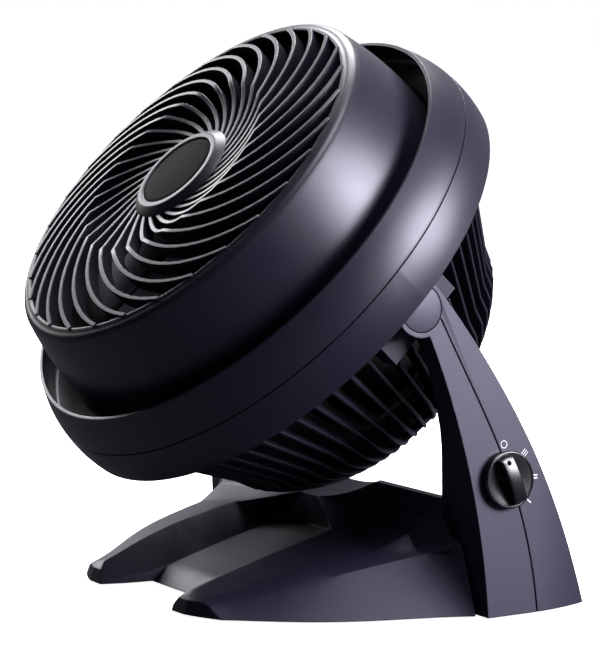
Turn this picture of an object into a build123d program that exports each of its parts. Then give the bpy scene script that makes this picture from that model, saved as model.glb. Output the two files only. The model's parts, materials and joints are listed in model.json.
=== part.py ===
from build123d import *
from math import atan2, cos, degrees, radians, sin, tan
import os

os.makedirs("parts", exist_ok=True)

# Air circulator fan on a tilting stand. Millimetres, +Z up, the front faces -Y.
# X = 0 is the plane of symmetry and Z = 0 is the table. At rest the head is tilted up,
# and its axis passes 190 mm over the origin.

# ---------------------------------------------------------------- driving sizes
head_tilt = 43.67            # head axis above the horizontal, degrees
pivot_y, pivot_z = 17.2, 173.6   # tilt axis, which crosses the head axis

running = 0.05               # radial clearance of a shaft in its bore
seat = 0.2                   # clearance of a piece that sits in another
seam = 0.5                   # open seam between the halves of the outer ring
stand_seam = 1.0             # open seam between the shells of the stand
wall = 2.5                   # moulded wall of the head
stand_wall = 2.8             # moulded wall of the stand

# The head is measured along its axis, "a", forward from the tilt axis.
ring_lip_r, ring_lip_a = 145.0, 55.4
ring_seam_r, ring_seam_a = 152.4, 33.6
ring_rear_r, ring_rear_a = 151.9, 10.1
nozzle_front_r, nozzle_front_a = 122.6, 93.7
nozzle_flare_r, nozzle_flare_a = 127.3, 73.8
nozzle_foot_r, nozzle_foot_a = 130.0, 52.0
recess_floor_a = 36.0
flange_a, flange_bore_r = 17.5, 128.0

rim_bore_r, rim_front_a = 114.0, 99.9
rim_depth = 14.0
vane_count = 30
vane_width = 2.0
vane_depth = 9.0
vane_crest_r, vane_crest_a = 64.3, 108.1
vane_sweep = {30: -15.4, 47: 9.8, vane_crest_r: 26.7, 88: 47.1, 115: 72.6}   # radius: angle
hub_front_r, hub_front_a = 28.3, 104.4
hub_foot_r, hub_foot_a = 33.5, 101.0
hub_rear_a = 90.0
badge_r, badge_recess = 24.4, 1.8

duct_r, duct_wall = 111.5, 2.2
duct_flange_r, duct_foot_r = 119.5, 128.5
duct_front_a = rim_front_a - rim_depth
impeller_r, impeller_hub_r = 107.5, 29.0
impeller_front_a, impeller_rear_a = 78.0, 30.0
blade_count, blade_thickness = 3, 2.4
# radius, half chord, pitch in degrees and camber of a blade's sections
blade_stations = ((27.0, 27.0, 52.0, 5.0), (65.0, 38.0, 34.0, 6.0), (110.0, 46.0, 24.0, 5.0))
shaft_r = 4.0

cage_front_r = 142.3
cage_bend_r, cage_bend_a = 105.0, -52.0
cage_step_r, cage_step_a = 101.0, -64.0
cage_turn_r, cage_turn_a = 82.0, -83.6
cup_r, cup_rear_a = 48.0, -98.0
cap_r = 40.0
rib_count, rib_width, rib_depth = 72, 2.0, 5.0
hoop_depth = 4.0

stator_r, stator_front_a, stator_rear_a = 42.0, -24.0, -60.0
rotor_r, air_gap = 20.0, 0.5
winding_r, slot_r, slot_count = 29.0, 4.0, 12
bell_bore_r, bell_length = 35.5, 16.0
bearing_r, bearing_width = 9.0, 6.0
plate_depth = 3.0
motor_plate_a = stator_rear_a - bell_length - plate_depth
shaft_front_a = 82.0

screw_r, screw_head_r, screw_head = 1.5, 2.6, 1.8
bolt_r, bolt_circle = 1.8, 38.7

cheek_half, cheek_face_x, cheek_back_x = 28.0, 124.3, 110.0
cheek_rear_a = -17.0
pocket_gap, pocket_x = 0.5, 118.0
pocket_rear_a = cheek_rear_a - pocket_gap
arm_top_inner_x = 127.0
trunnion_r, trunnion_end_x = 8.0, 133.5
pivot_cap_r, pivot_cap_depth = 13.2, 2.2

arm_foot_x, arm_top_x = 154.0, 138.0     # outer face on the table and at the tilt axis
cross_half, cross_top_y, cross_top_z = 119.0, 44.0, 64.0
shell_floor = 1.0
knob_y, knob_z = 68.0, 76.4
knob_r, knob_disc, knob_bar, knob_bar_width = 16.2, 4.6, 5.5, 9.0
knob_gap = 0.4
spindle_r, neck_r = 3.0, 4.5
switch_size, switch_depth = 22.0, 14.0
plate_wall = 2.4
foot_r, foot_stem_r = 7.0, 3.0
foot_spots = [(side * x, y) for side in (1, -1) for x, y in ((72, -66), (134, 98))]
knob_rest_turn = 20.0        # lean of the grip at rest, seen from outside
capacitor_r, capacitor_length, capacitor_y = 13.0, 44.0, 62.0

# ---------------------------------------------------------------- frames
forward = Vector(0, -cos(radians(head_tilt)), sin(radians(head_tilt)))
upward = Vector(0, sin(radians(head_tilt)), cos(radians(head_tilt)))
pivot = Vector(0, pivot_y, pivot_z)
head_axis = Axis(origin=pivot, direction=forward)
half_section = Plane(origin=pivot, x_dir=(1, 0, 0), z_dir=-upward)   # x is radius, y is a
arm_lean = degrees(atan2(arm_foot_x - arm_top_x, pivot_z))


def across(a):
    """Plane square to the head axis: x to the side, y up the head."""
    return Plane(origin=pivot + forward * a, x_dir=(1, 0, 0), z_dir=forward)


def arm_face(y, z):
    """Plane on the right arm's leaning outer face, z outwards."""
    x = arm_foot_x + (arm_top_x - arm_foot_x) * z / pivot_z
    lean = radians(arm_lean)
    return Plane(origin=(x, y, z), x_dir=(0, 1, 0), z_dir=(cos(lean), 0, sin(lean)))


def polar(r, angle):
    return (r * cos(radians(angle)), r * sin(radians(angle)))


def planes_round(a, radius, angles, outwards=1):
    """Planes on a circle about the head axis, facing forward or, with -1, to the rear."""
    base = across(a)
    return [Plane(origin=base.from_local_coords((*polar(radius, angle), 0)), z_dir=forward * outwards)
            for angle in angles]


def drill(planes, radius, depth):
    """Cut a plain hole into the current part from each plane."""
    for plane in planes:
        with BuildSketch(plane) as hole:
            Circle(radius)
        extrude(hole.sketch, amount=depth, mode=Mode.SUBTRACT)


def screws(planes, radius, length, head_r, head):
    """Round-headed screws with a driver's slot: the shank goes in along each plane's normal."""
    with BuildPart() as group:
        for plane in planes:
            with BuildSketch(plane) as shank:
                Circle(radius)
            extrude(shank.sketch, amount=length)
            with BuildSketch(plane) as cap:
                Circle(head_r)
            extrude(cap.sketch, amount=-head)
            with BuildSketch(plane.offset(-head)) as slot:
                Rectangle(2 * head_r, 0.8)
            extrude(slot.sketch, amount=head / 2, mode=Mode.SUBTRACT)
    return group


def save(builder, name):
    builder.part.label = name
    export_step(builder.part, f"parts/{name}.step")


def ring_section():
    """The outer ring's barrel wall, from its lip to its rear edge."""
    mid_r = ring_seam_r + 0.2
    with BuildLine() as edge:
        outer = ThreePointArc((ring_lip_r, ring_lip_a), (mid_r, ring_seam_a - 3), (ring_rear_r, ring_rear_a))
        inner = ThreePointArc((ring_lip_r - wall, ring_lip_a), (mid_r - wall, ring_seam_a - 3),
                              (ring_rear_r - wall, ring_rear_a))
        Line(outer @ 0, inner @ 0)
        Line(outer @ 1, inner @ 1)
    return edge.line


def cap_plane(side):
    """Plane on an arm's outer face at the tilt axis, facing outwards."""
    lean = radians(arm_lean)
    return Plane(origin=(side * arm_top_x, pivot_y, pivot_z), x_dir=(0, 1, 0),
                 z_dir=(side * cos(lean), 0, sin(lean)))


# ---------------------------------------------------------------- where the head is screwed together
grille_screw_planes = planes_round(duct_front_a - duct_wall, 117.0, range(15, 375, 60))
duct_screw_planes = planes_round(flange_a + 2 * wall, duct_foot_r + 3.2, range(15, 375, 60), -1)
shroud_screw_planes = planes_round(flange_a, 144.5, [32.5 + 60 * step for step in range(6)])
cage_screw_planes = planes_round(flange_a - 3, 137.0, (47.5, 132.5, 227.5, 312.5))
motor_bolt_planes = planes_round(motor_plate_a, bolt_circle, (90, 210, 330))

# ================================================================ head: fixed pieces
# Front grille: rim, swept vanes whose front edges crest at mid radius, and the hub boss.
with BuildSketch() as vane:
    with BuildLine() as vane_path:
        points = [polar(r, angle) for r, angle in vane_sweep.items()]
        ThreePointArc(points[0], points[1], points[2])
        ThreePointArc(points[2], points[3], points[4])
    trace(vane_path.line, line_width=vane_width)

with BuildPart() as front_grille:
    with BuildSketch(across(hub_rear_a - 5)):
        with PolarLocations(0, vane_count):
            add(vane.sketch)
    extrude(amount=30)
    with BuildSketch(half_section):
        with BuildLine():
            crest = (vane_crest_r, vane_crest_a)
            bowl = ThreePointArc((hub_front_r - 2, hub_foot_a), (48, 102.8), crest)
            slope = ThreePointArc(crest, (88, 105.3), (rim_bore_r + 1.5, 100.0))
            back_crest = (vane_crest_r, vane_crest_a - vane_depth)
            Line(slope @ 1, (rim_bore_r + 1.5, 100.0 - vane_depth))
            Line((rim_bore_r + 1.5, 100.0 - vane_depth), back_crest)
            Line(back_crest, (hub_front_r - 2, hub_rear_a + 1))
            Line((hub_front_r - 2, hub_rear_a + 1), bowl @ 0)
        make_face()
    revolve(axis=head_axis, mode=Mode.INTERSECT)
    with BuildSketch(half_section):
        with BuildLine():
            rim_edge = ThreePointArc((nozzle_front_r, nozzle_front_a), (120.9, 97.0), (117.1, 98.6))
            Polyline(rim_edge @ 1, (rim_bore_r + 0.6, rim_front_a), (rim_bore_r, rim_front_a - 0.5),
                     (rim_bore_r, rim_front_a - rim_depth),
                     (nozzle_front_r - wall - seat, rim_front_a - rim_depth),
                     (nozzle_front_r - wall - seat, nozzle_front_a), rim_edge @ 0)
        make_face()
        with BuildLine():
            land = hub_front_a - 0.5
            Polyline((0, hub_rear_a), (hub_foot_r, hub_rear_a), (hub_foot_r, hub_foot_a),
                     (hub_front_r, land), (hub_front_r - 0.6, hub_front_a),
                     (badge_r + 0.6, hub_front_a), (badge_r + seat, land),
                     (badge_r + seat, hub_front_a - badge_recess), (0, hub_front_a - badge_recess),
                     (0, hub_rear_a))
        make_face()
    revolve(axis=head_axis)
    with BuildSketch(across(hub_rear_a)):
        Circle(hub_front_r - wall)
    extrude(amount=hub_front_a - badge_recess - wall - hub_rear_a, mode=Mode.SUBTRACT)
    drill(grille_screw_planes, screw_r, 12)
save(front_grille, "front_grille")

# Blank, slightly crowned badge in the hub's recess.
with BuildPart() as hub_badge:
    with BuildSketch(half_section):
        floor_a = hub_front_a - badge_recess
        with BuildLine():
            crown = TangentArc((0, floor_a + 1.9), (badge_r, floor_a + 1.2), tangent=(1, 0))
            Polyline(crown @ 1, (badge_r, floor_a), (0, floor_a), crown @ 0)
        make_face()
    revolve(axis=head_axis)
save(hub_badge, "hub_badge")

# Front shroud: flared nozzle, deep annular recess and the front half of the outer ring.
with BuildPart() as front_shroud:
    with BuildSketch(half_section):
        with BuildLine():
            flare = ThreePointArc((nozzle_front_r, nozzle_front_a), (nozzle_flare_r, nozzle_flare_a),
                                  (nozzle_foot_r, nozzle_foot_a))
            inner_flare = ThreePointArc((nozzle_front_r - wall, nozzle_front_a),
                                        (nozzle_flare_r - wall, nozzle_flare_a),
                                        (nozzle_foot_r - wall, nozzle_foot_a))
            Line(flare @ 0, inner_flare @ 0)
            under = recess_floor_a - wall
            Polyline(inner_flare @ 1, (nozzle_foot_r - wall + 0.5, under + 5), (nozzle_foot_r + 3, under),
                     (ring_seam_r - wall / 2, under), (ring_seam_r - wall / 2, recess_floor_a + 4),
                     (ring_seam_r - 2 * wall, recess_floor_a + 1), (ring_seam_r - 3 * wall, recess_floor_a),
                     (nozzle_foot_r + 6, recess_floor_a), (nozzle_foot_r + 2, recess_floor_a + 4),
                     flare @ 1)
        make_face()
    revolve(axis=head_axis)
    with BuildSketch(half_section):
        make_face(ring_section())
        with Locations((ring_seam_r, ring_seam_a + seam / 2)):
            Rectangle(40, 60, align=(Align.CENTER, Align.MAX), mode=Mode.SUBTRACT)
    revolve(axis=head_axis)
    for plane in shroud_screw_planes:
        with BuildSketch(plane.offset(wall)):
            Circle(screw_r + wall)
        extrude(amount=recess_floor_a - wall - flange_a - wall)
    drill(shroud_screw_planes, screw_r, 14)
save(front_shroud, "front_shroud")

# Duct round the impeller, with a flange against the grille's rim and a bellmouth behind.
with BuildPart() as inner_duct:
    with BuildSketch(half_section):
        with BuildLine():
            throat = ThreePointArc((duct_r, 50), (duct_r + 4.5, 31), (duct_foot_r, flange_a + wall))
            outer_r = duct_r + duct_wall
            back = ThreePointArc((outer_r, 50), (outer_r + 4, 32.5), (duct_foot_r, flange_a + 2 * wall))
            Polyline(throat @ 0, (duct_r, duct_front_a), (duct_flange_r, duct_front_a),
                     (duct_flange_r, duct_front_a - duct_wall), (outer_r, duct_front_a - duct_wall), back @ 0)
            Polyline(throat @ 1, (duct_foot_r + 6, flange_a + wall), (duct_foot_r + 6, flange_a + 2 * wall),
                     back @ 1)
        make_face()
    revolve(axis=head_axis)
    drill(grille_screw_planes, screw_r, 12)
    drill(duct_screw_planes, screw_r, 12)
save(inner_duct, "inner_duct")

# Rear shroud: rear half of the ring, its flange and the two cheeks that carry the pivots.
with BuildPart() as rear_shroud:
    with BuildSketch(half_section):
        make_face(ring_section())
        with Locations((ring_seam_r, ring_seam_a - seam / 2)):
            Rectangle(40, 60, align=(Align.CENTER, Align.MIN), mode=Mode.SUBTRACT)
        with Locations(((flange_bore_r + ring_rear_r - wall / 2) / 2, flange_a)):
            Rectangle(ring_rear_r - wall / 2 - flange_bore_r, wall, align=(Align.CENTER, Align.MIN))
    revolve(axis=head_axis)
    with BuildSketch(across(flange_a + wall)):
        for side in (-1, 1):
            with Locations((side * cheek_back_x, 0)):
                Rectangle(flange_bore_r + 3 - cheek_back_x, 2 * cheek_half,
                          align=(Align.MIN if side > 0 else Align.MAX, Align.CENTER))
    extrude(amount=-wall)
    with BuildSketch(across(flange_a)):
        for side in (-1, 1):
            with Locations((side * cheek_face_x, 0)):
                Rectangle(cheek_face_x - cheek_back_x, 2 * cheek_half,
                          align=(Align.MAX if side > 0 else Align.MIN, Align.CENTER))
            with Locations((side * (cheek_face_x - 2 * wall), 0)):
                Rectangle(cheek_face_x, 2 * (cheek_half - wall),
                          align=(Align.MAX if side > 0 else Align.MIN, Align.CENTER), mode=Mode.SUBTRACT)
    extrude(amount=-(flange_a - cheek_rear_a))
    with BuildSketch(Plane(origin=pivot, x_dir=(0, 1, 0), z_dir=(1, 0, 0))):
        Circle(trunnion_r + 5)
    extrude(amount=cheek_face_x, both=True)
    with BuildSketch(Plane(origin=pivot, x_dir=(0, 1, 0), z_dir=(1, 0, 0))):
        Circle(trunnion_r)
    extrude(amount=cheek_face_x, both=True, mode=Mode.SUBTRACT)
    with BuildSketch(across(flange_a)):
        Rectangle(2 * cheek_back_x, 60)
    extrude(amount=2 * (cheek_rear_a - flange_a), mode=Mode.SUBTRACT)
    drill(duct_screw_planes, screw_r, 12)
    drill(shroud_screw_planes, screw_r + 0.3, 12)
    drill(cage_screw_planes, screw_r, 12)
save(rear_shroud, "rear_shroud")

# Rear cage: radial ribs cut from a shell of revolution, tied by hoops, round the motor's cup.
with BuildPart() as rear_grille:
    with BuildSketch(across(cup_rear_a)):
        with PolarLocations(cup_r + 50, rib_count):
            Rectangle(104, rib_width)
    extrude(amount=flange_a - cup_rear_a)
    with BuildSketch(half_section):
        with BuildLine():
            front_r = cage_front_r
            cone = Line((front_r, flange_a), (cage_bend_r, cage_bend_a))
            Line(cone @ 1, (cage_step_r, cage_step_a))
            dome = ThreePointArc((cage_step_r, cage_step_a), (cage_turn_r, cage_turn_a), (cup_r - 1, cup_rear_a))
            inner_dome = ThreePointArc((cage_step_r - rib_depth, cage_step_a + 2),
                                       (cage_turn_r - 3, cage_turn_a + 4.5), (cup_r - 1, cup_rear_a + rib_depth))
            Line(dome @ 1, inner_dome @ 1)
            Polyline(inner_dome @ 0, (cage_bend_r - rib_depth, cage_bend_a + 2),
                     (front_r - rib_depth - 1, flange_a), (front_r, flange_a))
        make_face()
    revolve(axis=head_axis, mode=Mode.INTERSECT)
    with BuildSketch(half_section):
        for hoop_r, hoop_a in ((cage_bend_r, cage_bend_a), (cage_step_r, cage_step_a)):
            with Locations((hoop_r - 1.5 - hoop_depth / 2, hoop_a + 0.5)):
                Rectangle(hoop_depth, 3)
        with Locations((cage_front_r - 1.5, flange_a)):
            Rectangle(9, 3, align=(Align.MAX, Align.MAX))
        with BuildLine():
            cup_in, plate = cup_r - wall, motor_plate_a
            Polyline((cap_r + seat, cup_rear_a), (cup_r, cup_rear_a), (cup_r, plate + plate_depth),
                     (12, plate + plate_depth), (12, plate), (cup_in, plate), (cup_in, cup_rear_a + wall),
                     (cap_r + seat, cup_rear_a + wall), (cap_r + seat, cup_rear_a))
        make_face()
    revolve(axis=head_axis)
    with BuildSketch(across(flange_a)):
        for side in (-1, 1):
            with Locations((side * pocket_x, 0)):
                Rectangle(60, 2 * (cheek_half + pocket_gap + rib_width),
                          align=(Align.MIN if side > 0 else Align.MAX, Align.CENTER))
    extrude(amount=pocket_rear_a - rib_width - flange_a)
    with BuildSketch(across(flange_a)):
        for side in (-1, 1):
            with Locations((side * (pocket_x - 20), 0)):
                Rectangle(90, 2 * (cheek_half + pocket_gap),
                          align=(Align.MIN if side > 0 else Align.MAX, Align.CENTER))
    extrude(amount=pocket_rear_a - flange_a, mode=Mode.SUBTRACT)
    with BuildSketch(half_section):
        with BuildLine():
            Polyline((0, cup_rear_a), (cage_bend_r, cup_rear_a), (cage_bend_r, cage_bend_a),
                     (cage_front_r, flange_a), (0, flange_a), (0, cup_rear_a))
        make_face()
    revolve(axis=head_axis, mode=Mode.INTERSECT)
    drill(cage_screw_planes, screw_r + 0.3, 12)
    drill(motor_bolt_planes, bolt_r, 8)
save(rear_grille, "rear_grille")

# Cap over the motor's cup.
with BuildPart() as motor_cap:
    with BuildSketch(half_section):
        with BuildLine():
            face = TangentArc((0, cup_rear_a - 3), (cap_r + 2, cup_rear_a - 0.9), tangent=(1, 0))
            Polyline(face @ 1, (cap_r + 2, cup_rear_a), (cap_r, cup_rear_a), (cap_r, cup_rear_a + 6),
                     (cap_r - 2, cup_rear_a + 6), (cap_r - 2, cup_rear_a + 0.5), (0, cup_rear_a + 0.5),
                     face @ 0)
        make_face()
    revolve(axis=head_axis)
save(motor_cap, "motor_cap")

# ================================================================ motor
with BuildPart() as stator_core:
    with BuildSketch(across(stator_rear_a)):
        Circle(stator_r)
        Circle(rotor_r + air_gap, mode=Mode.SUBTRACT)
        with PolarLocations(winding_r, slot_count):
            Circle(slot_r, mode=Mode.SUBTRACT)
    extrude(amount=stator_front_a - stator_rear_a)
    drill(motor_bolt_planes, bolt_r, 80)
save(stator_core, "stator_core")

with BuildPart() as stator_winding:
    with BuildSketch(across(stator_rear_a)):
        with PolarLocations(winding_r, slot_count):
            Circle(slot_r - 0.2)
    extrude(amount=stator_front_a - stator_rear_a)
    for end_a, reach in ((stator_front_a, 9), (stator_rear_a, -9)):
        with BuildSketch(across(end_a)):
            Circle(winding_r + slot_r + 1)
            Circle(winding_r - slot_r - 1, mode=Mode.SUBTRACT)
        extrude(amount=reach)
save(stator_winding, "stator_winding")


def end_bell(face_a, outwards):
    """Cast cup on one end of the stator, with a seat for the bearing."""
    tip_a = face_a + outwards * bell_length
    seat_a = tip_a - outwards * (bearing_width + 1)
    with BuildPart() as bell:
        with BuildSketch(half_section):
            with BuildLine():
                Polyline((stator_r, face_a), (stator_r, tip_a - outwards * 3), (stator_r - 3, tip_a),
                         (shaft_r + 1.5, tip_a), (shaft_r + 1.5, tip_a - outwards), (bearing_r, tip_a - outwards),
                         (bearing_r, seat_a), (bearing_r + 2.5, seat_a),
                         (bearing_r + 2.5, tip_a - outwards * wall), (bell_bore_r, tip_a - outwards * wall),
                         (bell_bore_r, face_a), (stator_r, face_a))
            make_face()
        revolve(axis=head_axis)
        drill(motor_bolt_planes, bolt_r, 80)
    return bell


def bearing(face_a, outwards):
    """Sintered sleeve that fills a bell's bearing seat."""
    start = face_a + outwards * (bell_length - 1)
    with BuildPart() as sleeve:
        with BuildSketch(across(start)):
            Circle(bearing_r)
            Circle(shaft_r + running, mode=Mode.SUBTRACT)
        extrude(amount=-outwards * bearing_width)
    return sleeve


for place, face_a, outwards in (("front", stator_front_a, 1), ("rear", stator_rear_a, -1)):
    save(end_bell(face_a, outwards), f"{place}_end_bell")
    save(bearing(face_a, outwards), f"{place}_bearing")

with BuildPart() as rotor:
    with BuildSketch(across(stator_rear_a)):
        Circle(rotor_r)
        Circle(shaft_r, mode=Mode.SUBTRACT)
    extrude(amount=stator_front_a - stator_rear_a)
    with BuildSketch(across(stator_rear_a - 3)):
        Circle(rotor_r - 2)
        Circle(rotor_r - 7, mode=Mode.SUBTRACT)
    extrude(amount=stator_front_a - stator_rear_a + 6)
save(rotor, "rotor")

with BuildPart() as motor_shaft:
    shaft_rear_a = stator_rear_a - bell_length + 1.5
    with BuildSketch(across(shaft_rear_a)):
        Circle(shaft_r)
    extrude(amount=shaft_front_a - shaft_rear_a)
    chamfer(motor_shaft.edges().sort_by(head_axis)[-1], length=0.6)
save(motor_shaft, "motor_shaft")

# Through bolts hold the bells and the stator to the cage's plate.
bolt_length = stator_front_a + bell_length - motor_plate_a + 3
bolt_head_planes = planes_round(stator_front_a + bell_length, bolt_circle, (90, 210, 330), -1)
save(screws(bolt_head_planes, bolt_r, bolt_length, 3.0, 2.0), "motor_bolts")

with BuildPart() as motor_nuts:
    for plane in motor_bolt_planes:
        with BuildSketch(plane):
            RegularPolygon(3.4, 6)
            Circle(bolt_r, mode=Mode.SUBTRACT)
        extrude(amount=-2.4)
save(motor_nuts, "motor_nuts")

# Trunnion pins, their washers and their retaining screws, on both sides.
sideways = Plane(origin=pivot, x_dir=(0, 1, 0), z_dir=(1, 0, 0))
pin_inner_x = cheek_back_x + 2
with BuildPart() as trunnion_pins:
    for side in (1, -1):
        with BuildSketch(sideways.offset(side * pin_inner_x)):
            Circle(trunnion_r)
        extrude(amount=side * (trunnion_end_x - pin_inner_x))
save(trunnion_pins, "trunnion_pins")

with BuildPart() as friction_washers:
    for side in (1, -1):
        with BuildSketch(sideways.offset(side * cheek_face_x)):
            Circle(trunnion_r + 6)
            Circle(trunnion_r, mode=Mode.SUBTRACT)
        extrude(amount=side * (arm_top_inner_x - cheek_face_x - 0.4))
save(friction_washers, "friction_washers")

with BuildPart() as pivot_screws:
    for side in (1, -1):
        with BuildSketch(sideways.offset(side * trunnion_end_x)):
            Circle(trunnion_r - 1)
        extrude(amount=side * 1.4)
        with BuildSketch(sideways.offset(side * (trunnion_end_x + 1.4))):
            Rectangle(10, 1.2)
        extrude(amount=-side * 0.8, mode=Mode.SUBTRACT)
save(pivot_screws, "pivot_screws")

save(screws(grille_screw_planes, screw_r, 10, screw_head_r, screw_head), "grille_screws")
save(screws(duct_screw_planes, screw_r, 4.8, screw_head_r, screw_head), "duct_screws")
save(screws(shroud_screw_planes, screw_r, 12, screw_head_r, screw_head), "shroud_screws")
save(screws(cage_screw_planes, screw_r, 5.4, screw_head_r, screw_head), "cage_screws")

# ================================================================ impeller
# One blade in the axis's own frame: x is radius and z is along the axis.
mid_a = (impeller_front_a + impeller_rear_a) / 2
with BuildPart() as blade:
    for radius, half_chord, pitch, camber in blade_stations:
        with BuildSketch(Plane(origin=(radius, 0, mid_a), x_dir=(0, 1, 0), z_dir=(1, 0, 0))):
            with BuildLine():
                half = blade_thickness / 2
                ends = [(-half_chord, -half / 2), (0, camber - half), (half_chord, -half / 2),
                        (half_chord, half / 2), (0, camber + half), (-half_chord, half / 2)]
                corner = [(u * cos(radians(pitch)) - w * sin(radians(pitch)),
                           u * sin(radians(pitch)) + w * cos(radians(pitch))) for u, w in ends]
                ThreePointArc(corner[0], corner[1], corner[2])
                Line(corner[2], corner[3])
                ThreePointArc(corner[3], corner[4], corner[5])
                Line(corner[5], corner[0])
            make_face()
    loft()
    with BuildSketch():
        Circle(impeller_r)
        Circle(impeller_hub_r - 1, mode=Mode.SUBTRACT)
    extrude(amount=200, mode=Mode.INTERSECT)

with BuildPart(across(0)) as impeller:
    with BuildSketch(half_section):
        with BuildLine():
            hub_in = impeller_hub_r - wall
            nose = ThreePointArc((impeller_hub_r, impeller_front_a - 6),
                                 (impeller_hub_r - 1.8, impeller_front_a - 1.8),
                                 (impeller_hub_r - 6, impeller_front_a))
            Polyline(nose @ 1, (shaft_r, impeller_front_a), (shaft_r, impeller_rear_a + 10),
                     (shaft_r + 4, impeller_rear_a + 10), (shaft_r + 4, impeller_front_a - wall),
                     (hub_in - 4, impeller_front_a - wall), (hub_in, impeller_front_a - 6),
                     (hub_in, impeller_rear_a), (impeller_hub_r, impeller_rear_a), nose @ 0)
        make_face()
    revolve(axis=head_axis)
    with PolarLocations(0, blade_count):
        add(blade.part)
save(impeller, "impeller")

with BuildPart() as impeller_nut:
    with BuildSketch(across(impeller_front_a)):
        RegularPolygon(6.5, 6)
        Circle(shaft_r, mode=Mode.SUBTRACT)
    extrude(amount=3.5)
save(impeller_nut, "impeller_nut")

# ================================================================ stand
# Cross-sections of the right wing, from its tip to the arm: station y, then the inner foot, the
# deck's edge, the ridge, the bevel's inner edge, the crease and the outer foot, as (x, z).
sunk = 10                    # how far the solids run below the table before they are cut level
wing_sections = (
    (-92, (43, 0), (46.5, 5), (48.5, 9.5), (62, 9), (70, 6), (80, 0)),
    (-58, (35.6, 0), (36.5, 7), (54.5, 20.8), (75, 16), (83, 12), (108.5, 0)),
    (-25, (35, 0), (35, 15.8), (57.5, 31), (89, 25.6), (100, 21.3), (128, 0)),
    (10, (33, 0), (33, 26.3), (55, 39.4), (98, 33), (110.5, 28.4), (140, 0)),
    (49, (22, 0), (22, 36), (44, 54), (116, 45), (132, 39), (150.5, 0)),
)
# The shoulder that carries the wing's top up to the cross-member, in the same stations.
shoulder_sections = (
    (11, ((54, 20), (54, 35.5), (57.5, 38.8), (98, 32.6), (109, 28))),
    (31, ((28, 20), (28, 34), (8, 51), (105, 43), (116, 31.5))),
    (cross_top_y, ((28, 20), (28, 42), (8, cross_top_z), (116, cross_top_z), (129.5, 36.8))),
)
deck_half = 40
deck_profile = ((-57, -sunk), (-57, 0), (-46, 9.5), (34, 33.5), (60, 33.5), (60, -sunk))
cross_back = (50, cross_top_z)
# The step between the two shoulders, right half: station y, then the corners of its section.
step_sections = ((31, (30, 20), (30, 33), (10, 50.6)), (cross_top_y, (30, 20), (30, 41), (10, cross_top_z)))
cross_slope = ((92, 32), (120, 2))
rear_slope = ThreePointArc(cross_back, *cross_slope)
tip_outline = ((57, -86.5), (77, -78.5), (95, -67))
tip_lean, tip_bevel, tip_bevel_reach = 15.0, 45.0, 6.5
plan_depth = 180             # how far the plan of the wings runs back
arm_front = ((52, 0), (45.8, 72), (pivot_y + 4.8, pivot_z - 15.4))
arm_rear = ((124, 0), (84, 100), (pivot_y + 10.7, pivot_z + 12.0))
arm_crown = (pivot_y - 11.3, pivot_z + 11.3)     # on the round top, between the two edges
arm_inside = ((100, -sunk), (100, 0), (105, 40), (115, 64), (119, 81), (122, 92), (124.5, 105),
              (arm_top_inner_x, 130), (arm_top_inner_x, 200))
arm_foot_bend_y, arm_foot_rear = 78, (145.4, 124)
seam_points = ((85, -20), (83, 25), (76, 60), (65, 92), (49, 127), (29.5, 167))
dish_r = 124.0
base_screw_spots = [(side * x, y) for side in (1, -1) for x, y in ((88, -45), (118, 10), (62, 58), (112, 103))]
groove_sections = ((-sunk, ((160, 45.5), (160, 52.4), (147, 51))), (60, ((160, 8), (160, 47.5), (134, 43))))
gland_r = 6.0
gland_at = 0.76              # share of the rear slope's length, from its top
gland_point, gland_along = rear_slope @ gland_at, rear_slope % gland_at
gland_plane = Plane(origin=(70, gland_point.X, gland_point.Y), x_dir=(1, 0, 0),
                    z_dir=(0, -gland_along.Y, gland_along.X))
boss_r = 4.5
arm_screw_planes = [Plane(origin=(side * x, y, z), z_dir=(0, -1, 0))
                    for side in (1, -1) for x, y, z in ((138, 94, 48), (133.5, 60, 124))]
base_screw_planes = [Plane(origin=(x, y, shell_floor + 1.4)) for x, y in base_screw_spots]


def panel(plane, points, inset=0):
    """Flat face with straight edges, drawn in from its outline by an even margin."""
    with BuildSketch(plane) as face:
        with BuildLine():
            Polyline(*points, close=True)
        make_face()
        if inset:
            offset(amount=-inset, kind=Kind.INTERSECTION)
    return face.sketch


def station(y):
    """Upright plane across the stand, where local y is height."""
    return Plane(origin=(0, y, 0), x_dir=(1, 0, 0), z_dir=(0, -1, 0))


def wing(side, inset):
    with BuildPart() as body:
        loft([panel(station(y), [(side * x, z if z else -sunk) for x, z in corners], inset)
              for y, *corners in wing_sections])
    return body.part


def shoulder(side, inset):
    with BuildPart() as body:
        loft([panel(station(y), [(side * x, z) for x, z in corners], inset)
              for y, corners in shoulder_sections], ruled=True)
    return body.part


def tips(inset):
    """Everything within the plan of the wings, whose front ends lean back and are bevelled on top."""
    with BuildSketch() as plan:
        with BuildLine():
            corner = Polyline((0, -87), (43, -87), tip_outline[0])
            end = ThreePointArc(*tip_outline)
            Polyline(end @ 1, (plan_depth, -12), (plan_depth, plan_depth), (0, plan_depth), corner @ 0)
        make_face()
        if inset:
            offset(amount=-inset, kind=Kind.INTERSECTION)
            with Locations((0, 0)):
                Rectangle(2 * inset, 400, mode=Mode.ADD)
        split(bisect_by=Plane.YZ)
        mirror(about=Plane.YZ)
    with BuildPart() as body:
        extrude(plan.sketch, amount=-sunk)
        extrude(plan.sketch, amount=100, taper=tip_lean)
        with BuildSketch(Plane.XY.offset(-sunk)) as bevel:
            add(plan.sketch)
            offset(amount=tip_bevel_reach + sunk * tan(radians(tip_bevel)), kind=Kind.INTERSECTION)
        extrude(bevel.sketch, amount=100, taper=tip_bevel, mode=Mode.INTERSECT)
    return body.part


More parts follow.
